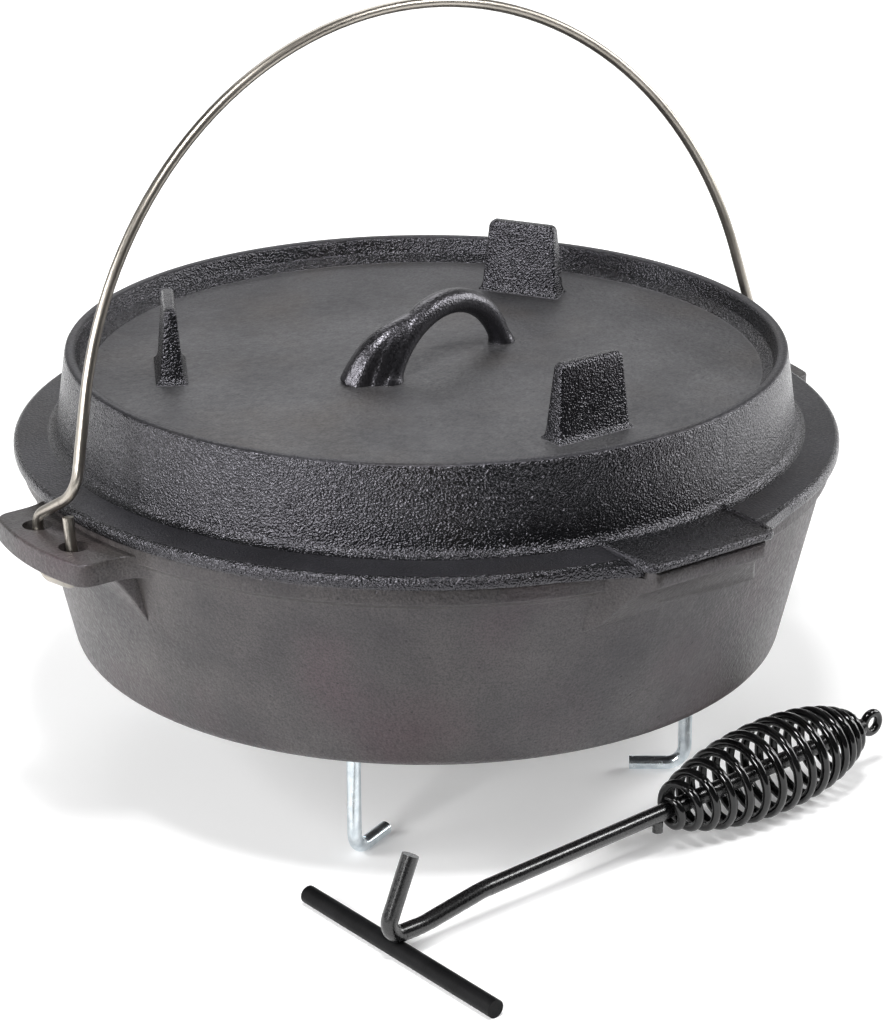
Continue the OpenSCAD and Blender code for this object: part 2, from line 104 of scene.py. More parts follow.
def grownBlock(name, rows, corner, toPlace, steps=3):
    # a plate with round corners, extruded row after row: (height, middle x, middle y, width, depth) in mm
    onlyThis(None)
    bpy.ops.mesh.primitive_plane_add(size=1)
    obj = bpy.context.object
    obj.name = name
    bpy.ops.object.mode_set(mode="EDIT")
    h, cx, cy, w, d = (v * mm for v in rows[0])
    bpy.ops.transform.resize(value=(w, d, 1), center_override=(0, 0, 0))
    bpy.ops.mesh.bevel(offset=corner * mm, segments=steps, affect="VERTICES")
    bpy.ops.mesh.select_all(action="SELECT")
    bpy.ops.transform.translate(value=(cx, cy, h))
    for row in rows[1:]:
        last = h, cx, cy, w, d
        h, cx, cy, w, d = (v * mm for v in row)
        move = (cx - last[1], cy - last[2], h - last[0])
        bpy.ops.mesh.extrude_region_move(TRANSFORM_OT_translate={"value": move})
        bpy.ops.transform.resize(value=(w / last[3], d / last[4], 1), center_override=(cx, cy, h))
    bpy.ops.object.mode_set(mode="OBJECT")
    obj.data.transform(toPlace)
    onlyThis(obj)
    bpy.ops.object.mode_set(mode="EDIT")
    return leaveEdit(obj)


def wireAlong(name, points, thick, sides):  # points are (x, y, z, thickness share) in mm
    onlyThis(None)
    bpy.ops.curve.primitive_nurbs_path_add(location=(0, 0, 0))
    obj = bpy.context.object
    obj.name = name
    line = obj.data.splines[0]
    line.type = "POLY"
    line.points.add(len(points) - len(line.points))
    for point, (x, y, z, share) in zip(line.points, points):
        point.co = (x * mm, y * mm, z * mm, 1)
        point.radius = share
    obj.data.bevel_depth = thick / 2 * mm
    obj.data.bevel_resolution = sides
    obj.data.use_fill_caps = True
    bpy.ops.object.convert(target="MESH")
    return bpy.context.object


def combine(body, pieces, operation="UNION"):
    for piece in pieces:
        onlyThis(body)
        mod = body.modifiers.new("join", "BOOLEAN")
        mod.operation = operation
        mod.solver = "EXACT"
        mod.object = piece
        bpy.ops.object.modifier_apply(modifier=mod.name)
        bpy.data.objects.remove(piece)
    return body


def smooth(obj, degrees=32):
    onlyThis(obj)
    bpy.ops.object.shade_smooth_by_angle(angle=math.radians(degrees))
    return obj


def addNode(tree, kind, settings=None, links=None):  # one node with its settings and what feeds it
    node = tree.nodes.new(kind)
    for key, value in (settings or {}).items():
        if key == "stops":  # places and hex colours along a ramp
            for place, color in value[2:]:
                node.color_ramp.elements.new(place)
            for element, (place, color) in zip(node.color_ramp.elements, value):
                element.position = place
                element.color = hexColor(color)
        elif isinstance(key, int) or key in node.inputs:
            node.inputs[key].default_value = value
        else:
            setattr(node, key, value)
    for key, socket in (links or {}).items():
        tree.links.new(socket, node.inputs[key])
    return node


def newMaterial(name):
    material = bpy.data.materials.new(name)
    material.use_nodes = True
    tree = material.node_tree
    return material, tree, tree.nodes["Principled BSDF"]


# cast iron: sand-cast skin with rounded bumps, darkened by baked oil, so it is black with small glints
ironLooks = {
    "seasonedIronCoarse": {"colors": ("#070708", "#121314"), "tint": "#110e0b", "grain": 0.8, "depth": 0.4,
                           "fine": 0.5, "fineDepth": 0.05, "speck": "#b0b0b0", "rough": (0.16, 0.3), "pits": 0.0,
                           "specular": 0.7},
    "seasonedIronLoop": {"colors": ("#060607", "#0f0f10"), "tint": "#0c0a09", "grain": 1.0, "depth": 0.12,
                         "fine": 0.5, "fineDepth": 0.04, "speck": "#b0b0b0", "rough": (0.26, 0.4), "pits": 0.0,
                         "specular": 1.0},
    "seasonedIronFlange": {"colors": ("#131315", "#242427"), "tint": "#1f1c19", "grain": 0.9, "depth": 0.16,
                           "fine": 0.45, "fineDepth": 0.04, "speck": "#a0a0a0", "rough": (0.36, 0.54), "pits": 0.3,
                           "specular": 0.5},
    # the plate is a lighter grey than the wall: partly its finer skin, partly painted sheen of the pale room it faces
    "seasonedIronPlateWithSheen": {"colors": ("#343435", "#4c4c4d"), "tint": "#423e3a", "grain": 2.2, "depth": 0.14,
                          "fine": 1.1, "fineDepth": 0.1, "speck": "#8a8a8a", "rough": (0.42, 0.58), "pits": 0.5,
                          "specular": 0.5},
    "potIron": {"colors": ("#32302f", "#4c4947"), "tint": "#463a3c", "grain": 1.5, "depth": 0.16,
                "fine": 0.7, "fineDepth": 0.1, "speck": "#8e8c8c", "rough": (0.36, 0.52), "pits": 0.6,
                "specular": 0.5},
}
# sizes in mm that all castings share: clouds and rusty patches in the tone, pin holes left by the sand
castSize = {"cloud": 38, "patch": 60, "pitGap": 7, "pitDepth": 0.12, "pitTone": "#0b0a0a", "glint": "#f2effa"}


def castIron(name):
    look = ironLooks[name]
    material, tree, shader = newMaterial(name)
    place = addNode(tree, "ShaderNodeTexCoord").outputs["Object"]
    cells = addNode(tree, "ShaderNodeTexVoronoi",
                    {"feature": "SMOOTH_F1", "Scale": perMetre(look["grain"]), "Smoothness": 0.5},
                    {"Vector": place}).outputs["Distance"]
    grain = addNode(tree, "ShaderNodeTexNoise", {"Scale": perMetre(look["grain"] * 1.4), "Detail": 2.0},
                    {"Vector": place}).outputs["Fac"]
    fine = addNode(tree, "ShaderNodeTexNoise", {"Scale": perMetre(look["fine"]), "Detail": 1.0},
                   {"Vector": place}).outputs["Fac"]
    cloud = addNode(tree, "ShaderNodeTexNoise", {"Scale": perMetre(castSize["cloud"]), "Detail": 4.0},
                    {"Vector": place}).outputs["Fac"]
    patch = addNode(tree, "ShaderNodeTexNoise", {"Scale": perMetre(castSize["patch"]), "Detail": 3.0},
                    {"Vector": place}).outputs["Fac"]
    # a pin hole is about a tenth as wide as the way to the next one
    pitField = addNode(tree, "ShaderNodeTexVoronoi", {"Scale": perMetre(castSize["pitGap"]), "Randomness": 1.0},
                       {"Vector": place}).outputs["Distance"]
    pit = addNode(tree, "ShaderNodeMapRange", {"From Min": 0.05, "From Max": 0.1, "To Min": 1.0, "To Max": 0.0},
                  {"Value": pitField}).outputs["Result"]
    dark, light = look["colors"]
    base = addNode(tree, "ShaderNodeValToRGB", {"stops": [(0.32, dark), (0.68, light)]}, {"Fac": cloud})
    tintShare = addNode(tree, "ShaderNodeMapRange", {"From Min": 0.5, "From Max": 0.7, "To Max": 0.75},
                        {"Value": patch})
    tinted = addNode(tree, "ShaderNodeMixRGB", {"Color2": hexColor(look["tint"])},
                     {"Fac": tintShare.outputs["Result"], "Color1": base.outputs["Color"]})
    speck = addNode(tree, "ShaderNodeValToRGB", {"stops": [(0.34, look["speck"]), (0.62, "#ffffff")]}, {"Fac": fine})
    specked = addNode(tree, "ShaderNodeMixRGB", {"blend_type": "MULTIPLY", "Fac": 0.7},
                      {"Color1": tinted.outputs["Color"], "Color2": speck.outputs["Color"]})
    pitShare = addNode(tree, "ShaderNodeMath", {"operation": "MULTIPLY", 1: look["pits"]}, {0: pit})
    holed = addNode(tree, "ShaderNodeMixRGB", {"Color2": hexColor(castSize["pitTone"])},
                    {"Fac": pitShare.outputs[0], "Color1": specked.outputs["Color"]})
    tree.links.new(holed.outputs["Color"], shader.inputs["Base Color"])
    rough = addNode(tree, "ShaderNodeMapRange", {"From Min": 0.3, "From Max": 0.7, "To Min": look["rough"][0],
                                                 "To Max": look["rough"][1]}, {"Value": grain})
    tree.links.new(rough.outputs["Result"], shader.inputs["Roughness"])
    shader.inputs["Specular IOR Level"].default_value = look["specular"]
    shader.inputs["Specular Tint"].default_value = hexColor(castSize["glint"])
    lump = addNode(tree, "ShaderNodeMath", {"operation": "ADD"}, {0: cells, 1: grain}).outputs[0]
    bump = addNode(tree, "ShaderNodeBump", {"Strength": 1.0, "Distance": look["depth"] * mm}, {"Height": lump})
    bump = addNode(tree, "ShaderNodeBump", {"Strength": 1.0, "Distance": look["fineDepth"] * mm},
                   {"Height": fine, "Normal": bump.outputs["Normal"]})
    if look["pits"]:
        bump = addNode(tree, "ShaderNodeBump",
                       {"Strength": 1.0, "Distance": castSize["pitDepth"] * mm, "invert": True},
                       {"Height": pit, "Normal": bump.outputs["Normal"]})
    tree.links.new(bump.outputs["Normal"], shader.inputs["Normal"])
    return material


# stainless wire, drawn and left satin: a soft bright line along it and faint lines of the die
stainlessLook = {"streak": 0.7, "cloud": 30, "colors": ("#8f8a82", "#b4aea5"), "rough": (0.24, 0.42), "depth": 0.012}


def drawnStainless():
    look = stainlessLook
    material, tree, shader = newMaterial("drawnStainless")
    place = addNode(tree, "ShaderNodeTexCoord").outputs["Object"]
    streak = addNode(tree, "ShaderNodeTexNoise", {"Scale": perMetre(look["streak"]), "Detail": 2.0},
                     {"Vector": place}).outputs["Fac"]
    cloud = addNode(tree, "ShaderNodeTexNoise", {"Scale": perMetre(look["cloud"]), "Detail": 2.0},
                    {"Vector": place}).outputs["Fac"]
    dark, light = look["colors"]
    tone = addNode(tree, "ShaderNodeValToRGB", {"stops": [(0.3, dark), (0.7, light)]}, {"Fac": cloud})
    tree.links.new(tone.outputs["Color"], shader.inputs["Base Color"])
    low, high = look["rough"]
    rough = addNode(tree, "ShaderNodeMapRange", {"To Min": low, "To Max": high}, {"Value": streak})
    tree.links.new(rough.outputs["Result"], shader.inputs["Roughness"])
    shader.inputs["Metallic"].default_value = 1.0
    bump = addNode(tree, "ShaderNodeBump", {"Distance": look["depth"] * mm}, {"Height": streak})
    tree.links.new(bump.outputs["Normal"], shader.inputs["Normal"])
    return material


# bright zinc plate: pale blue metal with a faint cloudy spangle
zincLook = {"cloud": 4, "colors": ("#c0cad0", "#e6edf1"), "rough": (0.14, 0.34), "depth": 0.02}


def brightZinc():
    look = zincLook
    material, tree, shader = newMaterial("brightZinc")
    place = addNode(tree, "ShaderNodeTexCoord").outputs["Object"]
    cloud = addNode(tree, "ShaderNodeTexNoise", {"Scale": perMetre(look["cloud"]), "Detail": 3.0},
                    {"Vector": place}).outputs["Fac"]
    dark, light = look["colors"]
    tone = addNode(tree, "ShaderNodeValToRGB", {"stops": [(0.3, dark), (0.7, light)]}, {"Fac": cloud})
    tree.links.new(tone.outputs["Color"], shader.inputs["Base Color"])
    low, high = look["rough"]
    rough = addNode(tree, "ShaderNodeMapRange", {"To Min": low, "To Max": high}, {"Value": cloud})
    tree.links.new(rough.outputs["Result"], shader.inputs["Roughness"])
    shader.inputs["Metallic"].default_value = 1.0
    bump = addNode(tree, "ShaderNodeBump", {"Distance": look["depth"] * mm}, {"Height": cloud})
    tree.links.new(bump.outputs["Normal"], shader.inputs["Normal"])
    return material


# black coats: semi-gloss on the rod with orange peel, matt on the crossbar, full gloss on the coil
coatLooks = {
    "semiGlossBlackCoat": {"colors": ("#070708", "#141415"), "rough": (0.2, 0.34), "peel": 0.9, "depth": 0.04,
                           "cloud": 12, "specular": 0.5, "coat": 0.4},
    "mattBlackCoat": {"colors": ("#050506", "#141415"), "rough": (0.42, 0.6), "peel": 0.8, "depth": 0.05,
                      "cloud": 12, "specular": 0.12, "coat": 0.0},
    "glossBlackCoat": {"colors": ("#040404", "#141415"), "rough": (0.08, 0.16), "peel": 2.5, "depth": 0.01,
                       "cloud": 12, "specular": 0.5, "coat": 0.0},
}


def blackCoat(name):
    look = coatLooks[name]
    material, tree, shader = newMaterial(name)
    place = addNode(tree, "ShaderNodeTexCoord").outputs["Object"]
    skin = addNode(tree, "ShaderNodeTexNoise", {"Scale": perMetre(look["peel"]), "Detail": 2.0},
                   {"Vector": place}).outputs["Fac"]
    cloud = addNode(tree, "ShaderNodeTexNoise", {"Scale": perMetre(look["cloud"]), "Detail": 2.0},
                    {"Vector": place}).outputs["Fac"]
    dark, light = look["colors"]
    tone = addNode(tree, "ShaderNodeValToRGB", {"stops": [(0.3, dark), (0.75, light)]}, {"Fac": cloud})
    tree.links.new(tone.outputs["Color"], shader.inputs["Base Color"])
    low, high = look["rough"]
    rough = addNode(tree, "ShaderNodeMapRange", {"From Min": 0.3, "From Max": 0.7, "To Min": low, "To Max": high},
                    {"Value": skin})
    tree.links.new(rough.outputs["Result"], shader.inputs["Roughness"])
    shader.inputs["Specular IOR Level"].default_value = look["specular"]
    shader.inputs["Coat Weight"].default_value = look["coat"]
    shader.inputs["Coat Roughness"].default_value = low
    bump = addNode(tree, "ShaderNodeBump", {"Distance": look["depth"] * mm}, {"Height": skin})
    tree.links.new(bump.outputs["Normal"], shader.inputs["Normal"])
    return material


coarseIron = castIron("seasonedIronCoarse")
loopIron = castIron("seasonedIronLoop")
flangeIron = castIron("seasonedIronFlange")
plateIronWithSheen = castIron("seasonedIronPlateWithSheen")
potIron = castIron("potIron")
stainless = drawnStainless()
zinc = brightZinc()
rodCoat = blackCoat("semiGlossBlackCoat")
barCoat = blackCoat("mattBlackCoat")
coilCoat = blackCoat("glossBlackCoat")
print("materials made")


def dress(obj, *materials):
    obj.data.materials.clear()
    for material in materials:
        obj.data.materials.append(material)


def takeOver(obj, node, body):  # the new piece stands for the CAD node
    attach(obj, body)
    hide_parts(node)


# lid: turned plate, rim, wall and flange; blade legs, loop and tab are cast on
lidSize = {"seat": 145.3, "flangeR": 175.0, "flangeTop": 150.7, "footR": 157.0, "footTop": 152.6, "rimR": 152.2,
           "rimT": 4.6, "top": 187.8, "plate": 177.0, "plateT": 6.0, "ringOut": 162.5, "ringIn": 156.5, "ringH": 4.0,
           "insideR": 151.0, "plateR": 141.2, "rampR": 146.2, "rampH": 3.4,
           "legR": 108.0, "legH": 32.0, "legTop": 31.0, "legCorner": 1.7, "legTurns": (30, 150, 270),
           "tabW": 65.4, "tabOut": 187.0, "tabTop": 152.5, "tabT": 3.2, "tabCorner": 0.9, "beadT": 2.6,
           "lipW": 59.0, "cutIn": 169.6, "cutOut": 60.0, "cutH": 20.0, "plateSkinAndSheenR": 142.0, "rimSkinR": 140.0,
           "loopSkinR": 70.0}


def makeLid():
    s = lidSize
    body = turnedBody("lidCasting", [
        (130, s["plate"], 0), (s["plateR"], s["plate"], 1.5), (s["rampR"], s["plate"] + s["rampH"], 1.5),
        (s["rimR"] - s["rimT"], s["top"], 2.1), (s["rimR"] - 0.2, s["top"], 2.1),
        (s["footR"], s["footTop"], 4.6), (s["flangeR"], s["flangeTop"], 2.2), (s["flangeR"], s["seat"], 1.6),
        (s["ringOut"], s["seat"], 0.4), (s["ringOut"], s["seat"] - s["ringH"], 1.0),
        (s["ringIn"], s["seat"] - s["ringH"], 1.0), (s["ringIn"], s["seat"], 0.8),
        (s["insideR"], s["seat"], 1.2), (s["insideR"], 152, 3), (145.2, 165, 6),
        (139.2, s["plate"] - s["plateT"], 4), (90, s["plate"] - s["plateT"], 0)])
    legs = []
    for azimuth in s["legTurns"]:
        h, top = s["legH"], s["legTop"]
        rows = [(-1, 0, 0, 39.6, 15), (0.3, 0, 0, 38.4, 13.4), (1, 0, 0, 37.2, 11.8), (2.2, 0, 0, 36.2, 10.4),
                (3.8, 0, 0, 35.5, 9.7),
                (h - 2.6, 0, 0, top + 0.2, 5.4), (h - 1.3, 0, 0, top - 0.8, 4.9), (h - 0.4, 0, 0, top - 2.4, 3.9),
                (h, 0, 0, top - 4.2, 2.6)]
        turn = Matrix.Rotation(math.radians(azimuth - 90), 4, "Z")
        place = turn @ Matrix.Translation((0, s["legR"] * mm, s["plate"] * mm))
        legs.append(grownBlock("leg%d" % azimuth, rows, s["legCorner"], place))
    combine(body, legs)
    combine(body, [makeLoop()])
    tabH = s["tabTop"] - s["tabT"]
    inner = s["footR"] - 3
    rows = [(inner, 0, 0, s["tabW"], s["tabT"]), (170, 0, 0, s["tabW"], s["tabT"]),
            (182, 0, 0, s["tabW"], s["tabT"]), (185, 0, 0, s["tabW"] - 3, s["tabT"]),
            (186.4, 0, 0, s["tabW"] - 6, s["tabT"] - 0.5), (s["tabOut"], 0, 0, s["tabW"] - 9, s["tabT"] - 1.6)]
    # the block's height runs to -Y, its depth to +Z
    place = Matrix(((1, 0, 0, 0), (0, 0, -1, 0), (0, 1, 0, (tabH + s["tabT"] / 2) * mm), (0, 0, 0, 1)))
    combine(body, [grownBlock("tab", rows, s["tabCorner"], place)])
    web = s["flangeTop"] - s["seat"] - 0.5
    rows = [(160, 0, 0, 116, web), (165, 0, 0, 116, web), (170.6, 0, 0, 92, web), (175.4, 0, 0, 71, web),
            (178, 0, 0, 65.6, web), (179.6, 0, 0, 62.4, web - 1.6)]
    flat = Matrix(((1, 0, 0, 0), (0, 0, -1, 0), (0, 1, 0, (s["seat"] + s["flangeTop"]) / 2 * mm), (0, 0, 0, 1)))
    combine(body, [grownBlock("tabWeb", rows, s["tabCorner"], flat)])
    bead = [(-31.4, -154, 152.2, 1.3), (-31.4, -160, 152.3, 1), (-31.4, -178, 152.3, 1), (-30, -183.2, 151.8, 1),
            (-27, -185.4, 151.3, 1)]
    bead += [(-x, y, z, share) for x, y, z, share in bead[::-1]]
    combine(body, [wireAlong("tabBead", bead, s["beadT"], 3)])
    onlyThis(None)
    # room for the pot's pour lip under the tab
    bpy.ops.mesh.primitive_cube_add(size=1, location=(0, -(s["cutIn"] + s["cutOut"] / 2) * mm,
                                                      (tabH - s["cutH"] / 2) * mm),
                                    scale=(s["lipW"] * mm, s["cutOut"] * mm, s["cutH"] * mm))
    combine(body, [bpy.context.object], "DIFFERENCE")
    smooth(body)
    dress(body, coarseIron, plateIronWithSheen, flangeIron, loopIron)
    for face in body.data.polygons:  # the plate, the flange and the loop have finer skins; the plate's lighter grey is partly painted sheen
        r = math.hypot(face.center.x, face.center.y) / mm
        z = face.center.z / mm
        if abs(z - s["plate"]) < 0.3 and r < s["plateSkinAndSheenR"]:
            face.material_index = 1
        elif s["footR"] + 3.5 < r < s["flangeR"] - 2 and z < s["footTop"] + 0.6:
            face.material_index = 2
        elif z > s["top"] - 0.7 and r > s["rimSkinR"]:  # top of the rim, worn like the flange
            face.material_index = 2
        elif r < s["loopSkinR"] and z > s["plate"]:
            face.material_index = 3
    return body


loopSize = {"span": 35.5, "rise": 26.0, "thick": 11.0, "steps": 40, "at": (7.0, -4.0), "turn": 11.0,
            "flareFoot": (-44.6, 9.0, -2.0), "flareTop": (-17.0, 0.6, 22.0), "flareThick": 16.5, "flareSwell": 5.0,
            "flareSteps": 12, "fillFoot": (-39.5, 4.0, -2.0), "fillThick": 15.0, "skin": 0.6, "softenings": 16,
            "dip": 0.12, "farShare": 0.84, "growShare": 0.2, "footShare": 0.28, "footH": 5.0,
            "flareLift": 0.8, "flareThin": 0.45}


def makeLoop():  # a bent bar, thinner at its far foot, with a wide root cast beside its near foot
    s = loopSize
    archR = (s["span"] ** 2 + s["rise"] ** 2) / (2 * s["rise"])
    low = math.asin((archR - s["rise"]) / archR)
    path = []
    for k in range(s["steps"] + 1):
        t = k / s["steps"]
        a = low - s["dip"] + (math.pi - 2 * low + 2 * s["dip"]) * t
        z = s["rise"] - archR + archR * math.sin(a)
        foot = s["footShare"] * max(0, 1 - max(z, 0) / s["footH"]) ** 2
        path.append((archR * math.cos(a), 0, z, s["farShare"] + s["growShare"] * min(1, 1.6 * t) + foot))
    bar = wireAlong("loop", path, s["thick"], 6)
    for root in ("flare", "fill"):  # the fill keeps the groove between root and bar shallow
        path = []
        for k in range(s["flareSteps"] + 1):
            t = k / s["flareSteps"]
            x, y, z = Vector(s[root + "Foot"]).lerp(Vector(s["flareTop"]), t)
            swell = s["flareSwell"] * math.sin(math.pi * t)
            path.append((x - swell, y, z + s["flareLift"] * swell, 1 - s["flareThin"] * t))
        combine(bar, [wireAlong(root + "Root", path, s[root + "Thick"], 6)])
    onlyThis(bar)
    skin = bar.modifiers.new("castSkin", "REMESH")  # the creases between the roots are soft
    skin.voxel_size = s["skin"] * mm
    even = bar.modifiers.new("soften", "SMOOTH")
    even.iterations = s["softenings"]
    for mod in (skin, even):
        bpy.ops.object.modifier_apply(modifier=mod.name)
    turn = Matrix.Rotation(math.radians(s["turn"]), 4, "Z")
    x, y = s["at"]
    bar.data.transform(Matrix.Translation((x * mm, y * mm, lidSize["plate"] * mm)) @ turn)
    return bar


# pot: turned bowl with a band at the rim; ears, gussets, pour lip and bosses are cast on
potSize = {"base": 60.0, "rim": 145.0, "baseR": 152.0, "mouthR": 170.0, "wall": 5.5, "floor": 7.0,
           "bandR": 171.6, "bandH": 6.5, "earTop": 141.5, "earT": 10.0, "earX": 195.5, "earW": 68.0, "earFlare": 14.0,
           "earCorner": 7.0, "earBow": 5.0, "earRoot": 159.0, "earSoft": 1.8, "gussetW": 63.0, "gussetIn": 150.0,
           "gussetCorner": 1.6, "holeX": 182.5, "holeGap": 28.6, "holeD": 12.0, "lipW": 57.0, "lipOut": 186.0,
           "lipTop": 148.5, "lipFace": 184.0, "lipMiddle": 3.5, "lipCorner": 1.0, "bossD": 16.0, "bossH": 6.0,
           "bossFlare": 2.5, "footR": 115.6, "footD": 6.1, "footTurn": -6.3, "footTop": 64.0, "boreH": 20.0,
           "holeH": 40.0, "trimOut": 50.0, "trimH": 20.0}


def makeEar(name, toPlace):  # a plate with a bowed outer edge and round corners, its rims softened
    s = potSize
    half, c = s["earW"] / 2, s["earCorner"]
    bow = (half ** 2 + s["earBow"] ** 2) / (2 * s["earBow"])
    middle = s["earX"] - bow
    cornerY = half - c
    cornerX = middle + math.sqrt((bow - c) ** 2 - cornerY ** 2)
    top = math.atan2(cornerY, cornerX - middle)
    edge = []
    for k in range(12):  # side that sweeps out into the wall
        t = k / 12
        edge.append((s["earRoot"] + (cornerX - s["earRoot"]) * t, half + s["earFlare"] * (1 - t) ** 4))
    for k in range(9):  # corner
        a = math.pi / 2 + (top - math.pi / 2) * k / 8
        edge.append((cornerX + c * math.cos(a), cornerY + c * math.sin(a)))
    for k in range(1, 11):  # half of the bowed edge
        a = top * (1 - k / 10)
        edge.append((middle + bow * math.cos(a), bow * math.sin(a)))
    edge = [(x, -y) for x, y in edge] + edge[-2::-1]
    onlyThis(None)
    bpy.ops.mesh.primitive_circle_add(vertices=len(edge), radius=mm, fill_type="NGON")
    obj = bpy.context.object
    obj.name = name
    for vertex, (x, y) in zip(obj.data.vertices, edge):
        vertex.co = (x * mm, y * mm, (s["earTop"] - s["earT"]) * mm)
    bpy.ops.object.mode_set(mode="EDIT")
    bpy.ops.mesh.select_all(action="SELECT")
    bpy.ops.mesh.extrude_region_move(TRANSFORM_OT_translate={"value": (0, 0, s["earT"] * mm)})
    leaveEdit(obj)
    soft = obj.modifiers.new("softRim", "BEVEL")
    soft.width = s["earSoft"] * mm
    soft.segments = 4
    soft.limit_method = "ANGLE"
    soft.angle_limit = math.radians(50)
    bpy.ops.object.modifier_apply(modifier=soft.name)
    obj.data.transform(toPlace)
    return obj


def makePot():
    s = potSize
    bandLow = s["rim"] - s["bandH"]
    inMouth = s["mouthR"] - s["wall"]
    body = turnedBody("potCasting", [
        (135, s["base"], 0), (s["baseR"] - 0.3, s["base"], 6), (s["mouthR"] - 0.9, bandLow - 2.4, 2.5),
        (s["bandR"], bandLow - 0.4, 1.2), (s["bandR"], s["rim"], 1.2), (inMouth, s["rim"], 1.0),
        (s["baseR"] - s["wall"], s["base"] + s["floor"], 8), (110, s["base"] + s["floor"], 0)])
    pieces = []
    for side in (0, 180):
        turn = Matrix.Rotation(math.radians(side), 4, "Z")
        pieces.append(makeEar("ear%d" % side, turn))
        # the gusset grows downwards from the ear and runs out in the wall
        low = s["earTop"] - s["earT"]
        rows = []
        for deep, out in ((-2, 176.0), (0.6, 174.6), (5, 171.2), (10, 167.6), (15, 164.4), (20, 161.4), (27, 157.4)):
            rows.append((deep, (out + s["gussetIn"]) / 2, 0, out - s["gussetIn"], s["gussetW"]))
        down = Matrix(((1, 0, 0, 0), (0, -1, 0, 0), (0, 0, -1, low * mm), (0, 0, 0, 1)))
        pieces.append(grownBlock("gusset%d" % side, rows, s["gussetCorner"], turn @ down))
    # the pour lip grows to -Y: how far out, how deep below its top, how much narrower on each side
    rows = []
    for out, drop, narrow in ((158, 30, -16), (166, 25, -11), (170, 19, -7), (174, 14, -3.6), (178, 10.6, -1.4),
                              (182, 8.2, 0), (184.4, 7, 0.6), (185.6, 5.4, 1.6), (s["lipOut"], 3.6, 3.2)):
        middle = -drop / 2 if out < s["lipFace"] else -s["lipMiddle"]
        rows.append((out, 0, middle, s["lipW"] - 2 * narrow, drop))
    axes = Matrix(((1, 0, 0, 0), (0, 0, -1, 0), (0, 1, 0, s["lipTop"] * mm), (0, 0, 0, 1)))
    pieces.append(grownBlock("lip", rows, s["lipCorner"], axes))
    above = s["rim"] + s["trimH"] / 2
    bowlLow = s["base"] + s["floor"]
    cuts = [turnedBody("bowl", [(100, above, 0), (inMouth, above, 0), (inMouth, s["rim"], 0),
                                (s["baseR"] - s["wall"], bowlLow, 8), (100, bowlLow, 0)])]
    for x in (-s["lipW"], s["lipW"]):  # the lip's run-out is cut off above the rim
        onlyThis(None)
        bpy.ops.mesh.primitive_cube_add(size=1, location=(x * mm, -s["mouthR"] * mm, above * mm),
                                        scale=((s["lipW"] - 1) * mm, s["trimOut"] * mm, s["trimH"] * mm))
        cuts.append(bpy.context.object)
    for quarter in range(4):
        a = math.radians(45 + 90 * quarter + s["footTurn"])
        at = Vector((math.cos(a), math.sin(a), 0)) * s["footR"] * mm
        onlyThis(None)
        bpy.ops.mesh.primitive_cone_add(vertices=40, radius1=s["bossD"] / 2 * mm,
                                        radius2=(s["bossD"] / 2 + s["bossFlare"]) * mm, depth=(s["bossH"] + 1) * mm,
                                        location=at + Vector((0, 0, (s["base"] - (s["bossH"] - 1) / 2) * mm)))
        pieces.append(bpy.context.object)
        onlyThis(None)
        bpy.ops.mesh.primitive_cylinder_add(vertices=32, radius=s["footD"] / 2 * mm, depth=s["boreH"] * mm,
                                            location=at + Vector((0, 0, (s["footTop"] - s["boreH"] / 2) * mm)))
        cuts.append(bpy.context.object)
    for x in (-s["holeX"], s["holeX"]):
        for y in (-s["holeGap"] / 2, s["holeGap"] / 2):
            onlyThis(None)
            bpy.ops.mesh.primitive_cylinder_add(vertices=40, radius=s["holeD"] / 2 * mm, depth=s["holeH"] * mm,
                                                location=(x * mm, y * mm, s["earTop"] * mm))
            cuts.append(bpy.context.object)
    combine(body, pieces)
    combine(body, cuts, "DIFFERENCE")
    smooth(body)
    dress(body, potIron)
    return body


# coil grip: round wire wound to a spindle
coilSize = {"turns": 15, "length": 109.0, "start": 141.0, "big": 40.6, "small": 15.4, "wire": 3.8, "steps": 32,
            "slope": 1.75, "room": 0.1, "middle": 0.55, "lead": 0.05, "close": 0.03, "belly": 0.8}
lifterAt = {"x": -124.5, "y": -150.6, "turn": 2.7}


def makeCoil():
    s = coilSize
    count = s["turns"] * s["steps"]
    path = []
    for k in range(count + 1):
        t = k / count
        a = 2 * math.pi * k / s["steps"] + math.pi / 2
        r = (s["small"] + (s["big"] - s["small"]) * math.sin(math.pi * t) ** s["belly"] - s["wire"]) / 2
        along = t + s["lead"] * math.sin(math.pi * t) - s["close"] * math.sin(2 * math.pi * t)
        rise = s["length"] * (along - s["middle"]) * math.tan(math.radians(s["slope"]))
        z = s["big"] / 2 + s["room"] + rise
        path.append((s["start"] + s["length"] * along, r * math.cos(a), z + r * math.sin(a), 1))
    obj = wireAlong("coilGrip", path, s["wire"], 3)
    turn = Matrix.Rotation(math.radians(lifterAt["turn"]), 4, "Z")
    obj.data.transform(Matrix.Translation((lifterAt["x"] * mm, lifterAt["y"] * mm, 0)) @ turn)
    smooth(obj, 60)
    dress(obj, coilCoat)
    return obj


lid = makeLid()
takeOver(lid, "lid", "lid")
print("lid made", len(lid.data.polygons), "faces")
pot = makePot()
takeOver(pot, "pot", "pot")
print("pot made", len(pot.data.polygons), "faces")
coil = makeCoil()
takeOver(coil, "lifter_grip", "lifter")
print("coil made")

for node in ("foot_front", "foot_right", "foot_back", "foot_left"):
    dress(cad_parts[node], zinc)
dress(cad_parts["bail"], stainless)
for node in ("lifter_shank", "lifter_stop_pin"):
    dress(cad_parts[node], rodCoat)
dress(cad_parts["lifter_crossbar"], barCoat)
dress(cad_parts["lifter_eye"], coilCoat)
print("metal and black pieces dressed")


